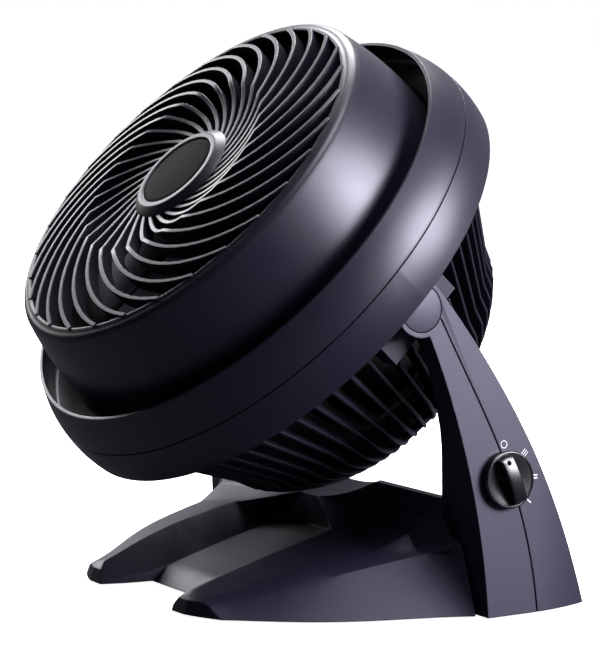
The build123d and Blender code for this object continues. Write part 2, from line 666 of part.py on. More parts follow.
def arm(side, inset):
    with BuildSketch(Plane.YZ.offset(side * 90)) as outline:
        with BuildLine():
            front = ThreePointArc(*arm_front)
            ThreePointArc(front @ 1, arm_crown, arm_rear[2])
            rear = ThreePointArc(*arm_rear)
            Polyline(front @ 0, (front @ 0 - (0, sunk)), (rear @ 0 - (0, sunk)), rear @ 0)
        make_face()
        if inset:
            offset(amount=-inset, kind=Kind.INTERSECTION)
    across_points = [(side * x, z) for x, z in (*arm_inside, (180, 200), (180, -sunk))]
    lean = Vector(side * (arm_top_x - arm_foot_x), 0, pivot_z)
    with BuildSketch(Plane(origin=lean * (-sunk / pivot_z))) as outer_face:
        with BuildLine():
            side_line = Line((side * arm_foot_x, -60), (side * arm_foot_x, arm_foot_bend_y))
            foot = TangentArc(side_line @ 1, (side * arm_foot_rear[0], arm_foot_rear[1]), tangent=(0, 1))
            Polyline(foot @ 1, (side * 140, 150), (side * 60, 150), (side * 60, -60), side_line @ 0)
        make_face()
        if inset:
            offset(amount=-inset, kind=Kind.INTERSECTION)
    with BuildPart() as body:
        extrude(outline.sketch, amount=side * 80)
        extrude(panel(station(-50), across_points, inset), amount=-200, mode=Mode.INTERSECT)
        extrude(outer_face.sketch, amount=230, dir=lean.normalized(), mode=Mode.INTERSECT)
    return body.part


def groove(side, inset):
    """Wedge between the wing and the arm's front edge, which is cut out."""
    with BuildPart() as body:
        loft([panel(Plane.XY.offset(height), [(side * x, y) for x, y in corners], -inset)
              for height, corners in groove_sections], ruled=True)
    return body.part


def cross_member(inset):
    with BuildSketch(Plane.YZ.offset(inset - cross_half)) as profile:
        with BuildLine():
            Polyline((cross_top_y, -sunk), (cross_top_y, cross_top_z), cross_back)
            ThreePointArc(cross_back, *cross_slope)
            Polyline(cross_slope[-1], (122, -sunk), (cross_top_y, -sunk))
        make_face()
        if inset:
            offset(amount=-inset, kind=Kind.INTERSECTION)
    with BuildPart() as body:
        extrude(profile.sketch, amount=2 * (cross_half - inset))
    return body.part


def step(inset):
    with BuildPart() as body:
        loft([panel(station(y + inset), corners + [(-x, z) for x, z in reversed(corners)], inset)
              for y, *corners in step_sections], ruled=True)
    return body.part


def stand_form(inset):
    """The stand's solid, drawn in from its outside by an even thickness."""
    with BuildPart() as form:
        extrude(panel(Plane.YZ.offset(-deck_half), deck_profile, inset), amount=2 * deck_half)
        add(cross_member(inset))
        add(step(inset))
        for side in (1, -1):
            add(wing(side, inset))
            add(shoulder(side, inset))
        add(tips(inset), mode=Mode.INTERSECT)
        for side in (1, -1):
            add(arm(side, inset))
            add(groove(side, inset), mode=Mode.SUBTRACT)
        with Locations(pivot):
            Sphere(dish_r + inset, mode=Mode.SUBTRACT)
    return form.part


def seam_region(shift):
    """Everything behind the stand's seam, moved back by a shift."""
    with BuildPart() as region:
        with BuildSketch(Plane.YZ.offset(-200)):
            with BuildLine():
                curve = Spline(*[(y + shift, z) for y, z in seam_points])
                Polyline(curve @ 1, (pivot_y + shift, pivot_z), (-10 + shift, 205), (160, 205), (160, -20),
                         curve @ 0)
            make_face()
        extrude(amount=400)
    return region


outer_form = stand_form(0)
inner_form = stand_form(stand_wall)
dial_face = arm_face(knob_y, knob_z)
with BuildPart() as stand_skin:
    add(outer_form)
    add(inner_form, mode=Mode.SUBTRACT)

# The whole stand as one hollow moulding, with its bosses and bores, before it is parted.
with BuildPart() as stand_body:
    with BuildSketch(Plane.XY.offset(shell_floor + plate_wall)):
        with Locations(*base_screw_spots):
            Circle(boss_r)
    extrude(amount=90)
    for plane in arm_screw_planes:
        with BuildSketch(plane.offset(-30)) as boss:
            Circle(boss_r)
        extrude(boss.sketch, amount=85)
    for side in (1, -1):
        with BuildSketch(sideways.offset(side * (arm_top_inner_x - 3))):
            Circle(trunnion_r + 6)
        extrude(amount=side * 30)
    add(inner_form, mode=Mode.INTERSECT)
    add(stand_skin.part)
    with BuildSketch(Plane.XY.offset(shell_floor)):
        Rectangle(400, 400)
    extrude(amount=-40, mode=Mode.SUBTRACT)
    with BuildSketch(sideways.offset(-160)):
        Circle(trunnion_r + running)
    extrude(amount=320, mode=Mode.SUBTRACT)
    for side in (1, -1):
        with BuildSketch(cap_plane(side)) as pocket:
            Circle(pivot_cap_r + seat)
        extrude(pocket.sketch, amount=-pivot_cap_depth - 0.1, mode=Mode.SUBTRACT)
    with BuildSketch(dial_face.offset(5)) as neck_hole:
        Circle(neck_r + seat)
    extrude(neck_hole.sketch, amount=-20, mode=Mode.SUBTRACT)
    with BuildSketch(gland_plane.offset(10)) as gland_hole:
        Circle(gland_r)
    extrude(gland_hole.sketch, amount=-25, mode=Mode.SUBTRACT)
    drill(base_screw_planes, screw_r, 12)
    drill([plane.offset(-30) for plane in arm_screw_planes], screw_head_r + seat, 30)
    drill(arm_screw_planes, screw_r, 25)

with BuildPart() as stand_front_shell:
    add(stand_body.part)
    add(seam_region(0).part, mode=Mode.SUBTRACT)
save(stand_front_shell, "stand_front_shell")

with BuildPart() as stand_rear_shell:
    add(stand_body.part)
    add(seam_region(stand_seam).part, mode=Mode.INTERSECT)
save(stand_rear_shell, "stand_rear_shell")

# Bottom plate, which closes both shells, with counterbored screws and four rubber feet.
with BuildPart() as bottom_plate:
    add(stand_form(stand_wall + seat))
    with BuildSketch(Plane.XY.offset(shell_floor)):
        Rectangle(400, 400)
    extrude(amount=plate_wall, mode=Mode.INTERSECT)
    drill([plane.offset(-3) for plane in base_screw_planes], screw_head_r + seat, 3)
    drill([plane.offset(-3) for plane in base_screw_planes], screw_r, 10)
    with BuildSketch(Plane.XY):
        with Locations(*foot_spots):
            Circle(foot_stem_r)
    extrude(amount=10, mode=Mode.SUBTRACT)
save(bottom_plate, "bottom_plate")
save(screws(base_screw_planes, screw_r, 9, screw_head_r, 1.2), "base_screws")
save(screws(arm_screw_planes, screw_r, 24, screw_head_r, screw_head), "arm_screws")

with BuildPart() as rubber_feet:
    with BuildSketch():
        with Locations(*foot_spots):
            Circle(foot_r)
    extrude(amount=shell_floor)
    with BuildSketch():
        with Locations(*foot_spots):
            Circle(foot_stem_r)
    extrude(amount=shell_floor + plate_wall + 1.2)
    with BuildSketch(Plane.XY.offset(shell_floor + plate_wall)):
        with Locations(*foot_spots):
            Circle(foot_stem_r + 1)
    extrude(amount=1.2)
save(rubber_feet, "rubber_feet")

with BuildPart() as pivot_caps:
    for side in (1, -1):
        with BuildSketch(cap_plane(side)) as disc:
            Circle(pivot_cap_r)
        extrude(disc.sketch, amount=-pivot_cap_depth)
save(pivot_caps, "pivot_caps")

# ================================================================ speed switch and knob
with BuildPart() as rotary_switch:
    with BuildSketch(dial_face.offset(-stand_wall - 0.4)):
        RectangleRounded(switch_size, switch_size, 2)
    extrude(amount=-switch_depth)
    with BuildSketch(dial_face.offset(-stand_wall - 0.4)):
        Circle(neck_r)
    extrude(amount=stand_wall + 0.4 + 1.9)
    with BuildSketch(dial_face.offset(1.9)):
        Circle(spindle_r + running)
    extrude(amount=-(stand_wall + 0.4 + 1.9 + 8), mode=Mode.SUBTRACT)
    with BuildSketch(dial_face.offset(-stand_wall - 0.4 - switch_depth)):
        with GridLocations(7, 9, 3, 2):
            Rectangle(4, 0.8)
    extrude(amount=-5)
save(rotary_switch, "rotary_switch")

with BuildPart() as switch_nut:
    with BuildSketch(dial_face):
        RegularPolygon(6.5, 6)
        Circle(neck_r, mode=Mode.SUBTRACT)
    extrude(amount=1.6)
save(switch_nut, "switch_nut")

spindle_tip = knob_gap + knob_disc + 2.5
with BuildPart() as switch_spindle:
    with BuildSketch(dial_face.offset(-stand_wall - 8)):
        Circle(spindle_r)
    extrude(amount=stand_wall + 8 + spindle_tip)
save(switch_spindle, "switch_spindle")

# Knob: skirted disc with a grip bar across it, drawn with the bar upright.
with BuildPart() as control_knob:
    with BuildSketch(dial_face.offset(knob_gap)):
        Circle(knob_r)
    extrude(amount=knob_disc)
    chamfer(control_knob.faces().sort_by(Axis(dial_face.origin, dial_face.z_dir))[-1].edges(), length=1.2)
    with BuildSketch(dial_face.offset(knob_gap + knob_disc - 0.5)):
        Circle(knob_r - 1.4)
        Rectangle(knob_bar_width, 3 * knob_r, rotation=knob_rest_turn, mode=Mode.INTERSECT)
    extrude(amount=knob_bar + 0.5, taper=4)
    with BuildSketch(dial_face.offset(knob_gap)):
        Circle(8.5)
    extrude(amount=1.9, mode=Mode.SUBTRACT)
    with BuildSketch(dial_face.offset(knob_gap)):
        Circle(spindle_r)
    extrude(amount=spindle_tip - knob_gap, mode=Mode.SUBTRACT)
save(control_knob, "control_knob")

# ================================================================ electrical pieces in the base
capacitor_z = shell_floor + plate_wall + 1.2 + capacitor_r
with BuildPart() as run_capacitor:
    with BuildSketch(Plane(origin=(-capacitor_length, capacitor_y, capacitor_z), x_dir=(0, 1, 0), z_dir=(1, 0, 0))):
        Circle(capacitor_r)
    extrude(amount=capacitor_length)
    chamfer(run_capacitor.edges().group_by(Axis.X)[0], length=1)
    with BuildSketch(Plane(origin=(0, capacitor_y, capacitor_z), x_dir=(0, 1, 0), z_dir=(1, 0, 0))):
        with GridLocations(9, 0, 2, 1):
            Rectangle(0.8, 6.3)
    extrude(amount=7)
save(run_capacitor, "run_capacitor")

with BuildPart() as capacitor_clamp:
    middle_x = -capacitor_length / 2
    with BuildSketch(Plane(origin=(middle_x, capacitor_y, capacitor_z), x_dir=(0, 1, 0), z_dir=(1, 0, 0))):
        Circle(capacitor_r + 1.2)
        with Locations((0, -capacitor_r - 0.6)):
            Rectangle(3 * capacitor_r, 1.2)
        Circle(capacitor_r, mode=Mode.SUBTRACT)
    extrude(amount=6, both=True)
save(capacitor_clamp, "capacitor_clamp")

with BuildPart() as terminal_block:
    with BuildSketch(Plane(origin=(30, capacitor_y, shell_floor + plate_wall))):
        Rectangle(36, 16)
    extrude(amount=11)
    with BuildSketch(Plane(origin=(30, capacitor_y, shell_floor + plate_wall + 11))):
        with GridLocations(9, 8, 4, 2):
            Circle(2)
    extrude(amount=-6, mode=Mode.SUBTRACT)
save(terminal_block, "terminal_block")

with BuildPart() as cord_gland:
    with BuildSketch(gland_plane) as collar:
        Circle(gland_r + 2.5)
    extrude(collar.sketch, amount=2)
    with BuildSketch(gland_plane) as sleeve:
        Circle(gland_r)
    extrude(sleeve.sketch, amount=-stand_wall - 6)
    with BuildSketch(gland_plane.offset(2)) as bore:
        Circle(gland_r - 2.2)
    extrude(bore.sketch, amount=-20, mode=Mode.SUBTRACT)
save(cord_gland, "cord_gland")
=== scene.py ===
import json
from math import atan2, cos, hypot, pi, radians, sin, sqrt, tan

import bmesh
import bpy
from mathutils import Matrix, Vector


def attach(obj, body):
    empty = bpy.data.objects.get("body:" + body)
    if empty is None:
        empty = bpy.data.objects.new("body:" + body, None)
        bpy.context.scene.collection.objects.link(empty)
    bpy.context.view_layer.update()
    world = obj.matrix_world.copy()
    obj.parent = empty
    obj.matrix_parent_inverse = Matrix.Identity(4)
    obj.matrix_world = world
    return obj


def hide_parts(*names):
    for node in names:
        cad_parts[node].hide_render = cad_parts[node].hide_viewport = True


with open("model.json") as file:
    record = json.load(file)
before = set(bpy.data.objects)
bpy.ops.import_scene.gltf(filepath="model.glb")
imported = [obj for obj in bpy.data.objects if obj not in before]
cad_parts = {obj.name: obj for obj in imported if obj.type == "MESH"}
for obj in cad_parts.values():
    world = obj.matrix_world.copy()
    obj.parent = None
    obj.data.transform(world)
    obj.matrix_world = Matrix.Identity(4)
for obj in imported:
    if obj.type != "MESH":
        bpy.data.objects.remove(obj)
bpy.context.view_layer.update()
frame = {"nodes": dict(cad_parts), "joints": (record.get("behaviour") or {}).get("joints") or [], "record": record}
print("frame loaded:", len(frame["nodes"]), "nodes")

mm = 0.001   # the pieces are given in mm and degrees, and the studio in metres
joints = {joint["name"]: joint for joint in frame["joints"]}
pivot = Vector(joints["head_tilt"]["pos_m"])
forward = Vector(joints["impeller_spin"]["axis"]).normalized()
upward = forward.cross(Vector((1, 0, 0))).normalized()
# Head space: x to the side, y up the head, z forward along the fan's axis, from the tilt axis
headSpace = Matrix.Translation(pivot) @ Matrix((Vector((1, 0, 0)), upward, forward)).transposed().to_4x4()
dialOut = -Vector(joints["knob_turn"]["axis"]).normalized()
armRight = Matrix((Vector((0, 1, 0)), dialOut.cross(Vector((0, 1, 0))), dialOut)).transposed().to_4x4()
# Dial space: x to the rear, y up the arm, z out of its outer face, from the knob's axis
dialSpace = Matrix.Translation(Vector(joints["knob_turn"]["pos_m"])) @ armRight


# what the pieces share: merging distance and edge rounding
shared = {"merge": 0.005, "sharp": 40, "edgeSegments": 3, "edgeFrom": 50}


def linear(hexColour):
    channels = [int(hexColour[i:i + 2], 16) / 255 for i in (1, 3, 5)]
    return (*[c / 12.92 if c <= 0.04045 else ((c + 0.055) / 1.055) ** 2.4 for c in channels], 1)


def addNode(tree, kind, settings=None, links=None):
    node = tree.nodes.new(kind)
    for name, value in (settings or {}).items():
        if hasattr(node, name):
            setattr(node, name, value)
        else:
            node.inputs[name].default_value = value
    for name, socket in (links or {}).items():
        tree.links.new(socket, node.inputs[name])
    return node


def newMaterial(name):
    material = bpy.data.materials.new(name)
    material.use_nodes = True
    material.node_tree.nodes.clear()
    return material, material.node_tree


def finishMaterial(tree, shader):
    addNode(tree, "ShaderNodeOutputMaterial", links={"Surface": shader.outputs["BSDF"]})


def circleThrough(first, second, third):
    # centre and radius of the circle through three points of a plane
    (ax, ay), (bx, by), (cx, cy) = first, second, third
    d = 2 * (ax * (by - cy) + bx * (cy - ay) + cx * (ay - by))
    a2, b2, c2 = ax * ax + ay * ay, bx * bx + by * by, cx * cx + cy * cy
    x = (a2 * (by - cy) + b2 * (cy - ay) + c2 * (ay - by)) / d
    y = (a2 * (cx - bx) + b2 * (ax - cx) + c2 * (bx - ax)) / d
    return (x, y), hypot(ax - x, ay - y)


def arc(first, second, third, count):
    # points along the arc from the first through the second to the third
    (x, y), radius = circleThrough(first, second, third)
    start, through, end = [atan2(p[1] - y, p[0] - x) for p in (first, second, third)]
    turn = (end - start) % (2 * pi)
    if (through - start) % (2 * pi) > turn:
        turn -= 2 * pi
    angles = [start + turn * i / count for i in range(count + 1)]
    return [(x + radius * cos(t), y + radius * sin(t)) for t in angles]


def rounded(outline, steps=3):
    # a corner given as (r, a, radius) is rounded off
    smooth = []
    for i, (r, a, *radius) in enumerate(outline):
        if not radius:
            smooth.append((r, a))
            continue
        corner = Vector((r, a))
        before = (Vector(outline[i - 1][:2]) - corner).normalized()
        after = (Vector(outline[(i + 1) % len(outline)][:2]) - corner).normalized()
        half = before.angle(after) / 2
        reach = radius[0] / tan(half)
        middle = corner + (before + after).normalized() * (radius[0] / sin(half) - radius[0])
        smooth += arc(corner + before * reach, middle, corner + after * reach, steps)
    return smooth


def spun(mesh, outline, steps=160, closed=True):
    # turn an outline of (radius, height) points round z
    corners = [mesh.verts.new((r, 0, a)) for r, a in outline]
    ends = corners[1:] + corners[:1] if closed else corners[1:]
    edges = [mesh.edges.new(pair) for pair in zip(corners, ends)]
    bmesh.ops.spin(mesh, geom=corners + edges, cent=(0, 0, 0), axis=(0, 0, 1), angle=2 * pi,
                   steps=steps, use_merge=True)


def sheet(mesh, front, back):
    # a strip of faces drawn between two rows of points
    last = len(front) - 1
    strip = bmesh.ops.create_grid(mesh, x_segments=last, y_segments=1, size=1)["verts"]
    for vert in strip:
        i = round((vert.co.x + 1) / 2 * last)
        vert.co = Vector(front[i]).lerp(Vector(back[i]), (vert.co.y + 1) / 2)
    return strip


def thicken(piece, thickness, edgeRound):
    # give a sheet its wall, centred on it, and round the wall's edges
    wall = piece.modifiers.new("wall", "SOLIDIFY")
    wall.thickness = thickness * mm
    wall.offset = 0
    wall.use_even_offset = True
    edging = piece.modifiers.new("roundedEdges", "BEVEL")
    edging.width = edgeRound * mm
    edging.segments = shared["edgeSegments"]
    edging.limit_method = "ANGLE"
    edging.angle_limit = radians(shared["edgeFrom"])
    edging.harden_normals = True


def finishPiece(mesh, name, place, body, material, replaced=(), sharp=shared["sharp"]):
    # merge and place a piece modelled in mm, attach it to its body and hide the CAD nodes it replaces
    bmesh.ops.remove_doubles(mesh, verts=mesh.verts, dist=shared["merge"])
    bmesh.ops.recalc_face_normals(mesh, faces=mesh.faces)
    bmesh.ops.transform(mesh, matrix=place @ Matrix.Scale(mm, 4), verts=mesh.verts)
    data = bpy.data.meshes.new(name)
    mesh.to_mesh(data)
    mesh.free()
    data.materials.append(material)
    data.shade_smooth()
    data.set_sharp_from_angle(angle=radians(sharp))
    piece = bpy.data.objects.new(name, data)
    bpy.context.scene.collection.objects.link(piece)
    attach(piece, body)
    if replaced:
        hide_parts(*replaced)
    return piece


# materials
def mouldedPlastic(name, look):
    # fine spark-eroded grain, faint clouding of the gloss and a tint that varies a little
    material, tree = newMaterial(name)
    place = addNode(tree, "ShaderNodeTexCoord")
    grain = addNode(tree, "ShaderNodeTexNoise", {"Scale": 1 / (look["grain"] * mm), "Detail": 2.0},
                    {"Vector": place.outputs["Object"]})
    cloud = addNode(tree, "ShaderNodeTexNoise", {"Scale": 1 / (look["cloud"] * mm), "Detail": 3.0},
                    {"Vector": place.outputs["Object"]})
    tint = addNode(tree, "ShaderNodeValToRGB", links={"Fac": grain.outputs["Fac"]})
    for element, position, colour in zip(tint.color_ramp.elements, (0.32, 0.7), ("dark", "light")):
        element.position = position
        element.color = linear(look[colour])
    gloss = addNode(tree, "ShaderNodeMapRange",
                    {"To Min": look["roughness"] - 0.05, "To Max": look["roughness"] + 0.05},
                    {"Value": cloud.outputs["Fac"]})
    edge = addNode(tree, "ShaderNodeBevel", {"samples": 4, "Radius": look["edge"] * mm})
    bump = addNode(tree, "ShaderNodeBump",
                   {"Strength": look["bump"], "Distance": look["grain"] * mm * 0.25},
                   {"Height": grain.outputs["Fac"], "Normal": edge.outputs["Normal"]})
    shader = addNode(tree, "ShaderNodeBsdfPrincipled",
                     {"IOR": look["ior"], "Specular IOR Level": look["sheen"],
                      "Specular Tint": linear(look["sheenTint"])},
                     {"Base Color": tint.outputs["Color"], "Roughness": gloss.outputs["Result"],
                      "Normal": bump.outputs["Normal"]})
    finishMaterial(tree, shader)
    return material


def metal(name, look):
    # turned, ground or cast metal: fine marks across one direction and a slightly uneven gloss
    material, tree = newMaterial(name)
    place = addNode(tree, "ShaderNodeTexCoord")
    stretch = addNode(tree, "ShaderNodeMapping", {"Scale": look["stretch"]},
                      {"Vector": place.outputs["Object"]})
    marks = addNode(tree, "ShaderNodeTexNoise", {"Scale": 1 / (look["grain"] * mm), "Detail": 4.0},
                    {"Vector": stretch.outputs["Vector"]})
    tint = addNode(tree, "ShaderNodeValToRGB", links={"Fac": marks.outputs["Fac"]})
    for element, position, colour in zip(tint.color_ramp.elements, (0.3, 0.72), ("dark", "light")):
        element.position = position
        element.color = linear(look[colour])
    gloss = addNode(tree, "ShaderNodeMapRange",
                    {"To Min": look["roughness"] - 0.08, "To Max": look["roughness"] + 0.08},
                    {"Value": marks.outputs["Fac"]})
    bump = addNode(tree, "ShaderNodeBump", {"Strength": look["bump"], "Distance": look["grain"] * mm * 0.2},
                   {"Height": marks.outputs["Fac"]})
    shader = addNode(tree, "ShaderNodeBsdfPrincipled", {"Metallic": 1.0},
                     {"Base Color": tint.outputs["Color"], "Roughness": gloss.outputs["Result"],
                      "Normal": bump.outputs["Normal"]})
    finishMaterial(tree, shader)
    return material


# grain, cloud and edge are in mm; a mould's real grain is finer, and is drawn this coarse so that it shows
plastics = {
    # ABS from a finely eroded mould: deep navy black with a soft satin gloss
    "housing_plastic": ("satinAbsHousing", {"dark": "#0a0916", "light": "#110f20", "grain": 0.45,
                                            "cloud": 30, "bump": 0.12, "roughness": 0.4, "edge": 0.4,
                                            "sheenTint": "#e8e6fa"}),
    # the same ABS from a coarser mould, which scatters the light to a grey blue
    "stand_plastic": ("texturedAbsStand", {"dark": "#0d0c1a", "light": "#171528", "grain": 0.8, "cloud": 40,
                                           "bump": 0.3, "roughness": 0.46, "edge": 0.9,
                                           "sheenTint": "#dedcf6"}),
    # satin ABS of the grille and cage: dark, with soft grey highlights along the edges
    "grille_plastic": ("satinAbsGrille", {"dark": "#0b0916", "light": "#13111f", "grain": 0.6, "cloud": 25,
                                          "bump": 0.05, "roughness": 0.4, "edge": 0.3}),
    # blank disc with a matt face: nearly black, with hardly any sheen
    "badge_plastic": ("mattAbsBadge", {"dark": "#060408", "light": "#0b080d", "grain": 0.7, "cloud": 20,
                                       "bump": 0.03, "roughness": 0.62, "edge": 0.2, "sheen": 0.03}),
    # unseen inner mouldings: plain charcoal from a bare mould
    "inner_plastic": ("plainAbsInner", {"dark": "#08080c", "light": "#0f0f14", "grain": 1.0, "cloud": 30,
                                        "bump": 0.2, "roughness": 0.5, "edge": 0.3}),
    # polypropylene fan blades: soft, waxy black
    "impeller_plastic": ("polypropyleneBlades", {"dark": "#0a0609", "light": "#120b0f", "grain": 1.2,
                                                 "cloud": 25, "bump": 0.08, "roughness": 0.38,
                                                 "edge": 0.5}),
    # glass-filled nylon of the switch: dry and grey
    "switch_plastic": ("glassFilledNylon", {"dark": "#17171a", "light": "#26262a", "grain": 0.4,
                                            "cloud": 12, "bump": 0.3, "roughness": 0.55, "edge": 0.2}),
    # ABS from a polished mould: glossy black, with clear highlights
    "knob_plastic": ("glossyAbsKnob", {"dark": "#020203", "light": "#050507", "grain": 0.9, "cloud": 15,
                                       "bump": 0.02, "roughness": 0.24, "edge": 0.2}),
    # acetal washers: milky white
    "washer_plastic": ("acetalWasher", {"dark": "#dcdcd6", "light": "#ececea", "grain": 0.6, "cloud": 10,
                                        "bump": 0.05, "roughness": 0.4, "edge": 0.2}),
    # polyamide terminal block: cream
    "terminal_plastic": ("polyamideTerminal", {"dark": "#cfcabc", "light": "#e2ded2", "grain": 0.5,
                                               "cloud": 10, "bump": 0.1, "roughness": 0.5, "edge": 0.2}),
    # polypropylene capacitor case: off-white
    "capacitor_case": ("polypropyleneCase", {"dark": "#d2d2d0", "light": "#e6e6e4", "grain": 0.7,
                                             "cloud": 15, "bump": 0.05, "roughness": 0.42, "edge": 0.4}),
    # moulded rubber: matt and dusty
    "foot_rubber": ("mouldedRubber", {"dark": "#0d0d0d", "light": "#1a1a19", "grain": 0.35, "cloud": 8,
                                      "bump": 0.5, "roughness": 0.8, "edge": 0.4}),
}
# the marks of sheet, bar and castings are drawn coarser than they are as well
metals = {
    # varnished electrical sheet: near-black, with faint lines across the stack
    "lamination_steel": ("varnishedLaminations", {"dark": "#1d1c1e", "light": "#343236", "grain": 0.5,
                                                  "stretch": (0.05, 1, 1), "bump": 0.6, "roughness": 0.5}),
    # ground bar: bright, with fine parallel marks
    "ground_steel": ("groundSteel", {"dark": "#a6a6a6", "light": "#c4c4c4", "grain": 0.3,
                                     "stretch": (1, 0.1, 0.1), "bump": 0.1, "roughness": 0.28}),
    # zinc plated screws: slightly yellow grey
    "screw_steel": ("zincPlatedSteel", {"dark": "#8f8e88", "light": "#b5b4ac", "grain": 0.6,
                                        "stretch": (1, 1, 1), "bump": 0.1, "roughness": 0.35}),
    # die casting under a black dip coat: sand-like skin with a dull sheen
    "cast_aluminium": ("coatedDieCasting", {"dark": "#151517", "light": "#252528", "grain": 0.9,
                                            "stretch": (1, 1, 1), "bump": 0.35, "roughness": 0.5}),
    # enamelled winding wire: bright copper in rows
    "copper_wire": ("enamelledCopper", {"dark": "#7c3715", "light": "#c3703a", "grain": 0.5,
                                        "stretch": (1, 0.1, 1), "bump": 0.8, "roughness": 0.3}),
    # pressed and sintered bronze: open grain
    "sintered_bronze": ("sinteredBronze", {"dark": "#7e6033", "light": "#a88348", "grain": 0.4,
                                           "stretch": (1, 1, 1), "bump": 0.4, "roughness": 0.5}),
}
finishes = {}
for slot, (name, look) in plastics.items():
    finishes[slot] = mouldedPlastic(name, {"ior": 1.52, "sheen": 0.5, "sheenTint": "#f0f0fc", **look})
for slot, (name, look) in metals.items():
    finishes[slot] = metal(name, look)
slotOf = {part["node"]: part["material_slot"] for part in frame["record"]["subparts"]}
for nodeName, node in frame["nodes"].items():
    node.data.materials.clear()
    node.data.materials.append(finishes[slotOf[nodeName]])
# pad-printed marks: a thin coat of matt white ink, which the dark arm turns light grey
dialInk = mouldedPlastic("padPrintedInk", {"dark": "#a8a8b2", "light": "#c4c4cc", "grain": 0.3, "cloud": 4,
                                           "bump": 0.1, "roughness": 0.5, "edge": 0.05, "ior": 1.5,
                                           "sheen": 0.5, "sheenTint": "#ffffff"})
print("materials made")

# front grille: rim, swept vanes and hub
grille = {"nozzle": (122.6, 93.7), "shoulder": (120.9, 97.0), "land": (117.1, 98.6), "landDrop": (0.4, 1.0),
          "front": 99.9, "bore": 114.0, "boreRound": 0.9, "depth": 14.0, "wall": 2.5,
          "vanes": 30, "vaneWidth": 2.6, "vaneDepth": 9.0, "edgeRound": 0.45,
          "bowl": ((25.0, 101.0), (48.0, 102.8)), "crest": (64.3, 108.1),
          "slope": ((88.0, 105.3), (115.5, 100.0)), "samples": 11, "shoulderSamples": 6,
          "sweep": ((30, -15.4), (47, 9.8), (64.3, 26.7), (88, 47.1), (115, 72.6)),   # radius, angle
          "hub": ((0, 90), (33.5, 90), (33.5, 101.0, 1.2), (28.3, 104.4, 1.0), (24.9, 104.4, 0.5),
                  (24.5, 102.6), (0, 102.6))}


def frontOf(radius):
    # how far forward a vane's edge stands at a radius
    inBowl = radius < grille["crest"][0]
    curve = (*grille["bowl"], grille["crest"]) if inBowl else (grille["crest"], *grille["slope"])
    (r, a), size = circleThrough(*curve)
    rise = sqrt(max(size ** 2 - (radius - r) ** 2, 0))
    return a + rise if curve[1][1] > a else a - rise


rim = bmesh.new()
outer = grille["nozzle"][0] - grille["wall"]
rimFoot = grille["front"] - grille["depth"]
inward, down = grille["landDrop"]
frontEdge = rounded([(grille["land"][0] - inward, grille["front"] - down),
                     (grille["bore"], grille["front"], grille["boreRound"]), (grille["bore"], rimFoot)], 4)
shoulder = arc(grille["nozzle"], grille["shoulder"], grille["land"], grille["shoulderSamples"])
spun(rim, [*shoulder, *frontEdge, (outer, rimFoot), (outer, grille["nozzle"][1])])
spun(rim, rounded(grille["hub"]), steps=96, closed=False)
sweep = [(r * cos(radians(angle)), r * sin(radians(angle))) for r, angle in grille["sweep"]]
plan = arc(*sweep[:3], grille["samples"]) + arc(*sweep[2:], grille["samples"])[1:]
vaneFront = [(x, y, frontOf(hypot(x, y))) for x, y in plan]
vaneBack = [(x, y, z - grille["vaneDepth"]) for x, y, z in vaneFront]
finishPiece(rim, "grilleRim", headSpace, "head", finishes["grille_plastic"],
            ("front_grille",))
vanes = bmesh.new()
for i in range(grille["vanes"]):
    vane = sheet(vanes, vaneFront, vaneBack)
    bmesh.ops.rotate(vanes, verts=vane, cent=(0, 0, 0),
                     matrix=Matrix.Rotation(2 * pi * i / grille["vanes"], 3, "Z"))
thicken(finishPiece(vanes, "spiralVanes", headSpace, "head", finishes["grille_plastic"],
                    ("front_grille",), 50), grille["vaneWidth"], grille["edgeRound"])

# bare hub badge
badge = {"radius": 24.4, "floor": 102.6, "crown": 1.9, "edge": 1.2, "chamfer": (0.6, 0.5), "samples": 8}
disc = bmesh.new()
crownR, edgeA = badge["radius"] - badge["chamfer"][0], badge["floor"] + badge["edge"]
crown = arc((-crownR, edgeA), (0, badge["floor"] + badge["crown"]), (crownR, edgeA), 2 * badge["samples"])
crown = crown[badge["samples"]:]   # from its middle outwards
crown[0] = (0, crown[0][1])
spun(disc, [*crown, (badge["radius"], edgeA - badge["chamfer"][1]), (badge["radius"], badge["floor"]),
            (0, badge["floor"])], steps=96, closed=False)
finishPiece(disc, "blankBadge", headSpace, "head", finishes["badge_plastic"],
            ("hub_badge",))
print("grille made")

# front shroud: flared nozzle, recess and front half of the ring
shroud = {"wall": 2.5, "front": (122.6, 93.7), "flare": (127.3, 73.8), "foot": (130.0, 52.0), "lead": 0.3,
          "recess": 36.0, "footFillet": ((0.8, 5), (2.4, 1.6), (6, 0)), "footReach": 3, "cornerRound": 2.5,
          "cornerFrom": 8, "cornerUpTo": 3, "flareSamples": 14, "ringSamples": 24,
          "lip": (145.0, 55.4), "lipCrown": 0.9, "lipInner": (0.2, 0.75), "lipOuter": (0.3, 0.7),
          "barrel": (152.6, 30.6), "rear": (151.9, 10.1), "seam": 33.6, "seamGap": 0.3,
          "seamStep": (1.4, 0.2)}


def ringSide(inset):
    # barrel of the outer ring from its lip to its rear edge, drawn in by an inset
    places = [(shroud[place][0] - inset, shroud[place][1]) for place in ("lip", "barrel", "rear")]
    return arc(*places, shroud["ringSamples"])


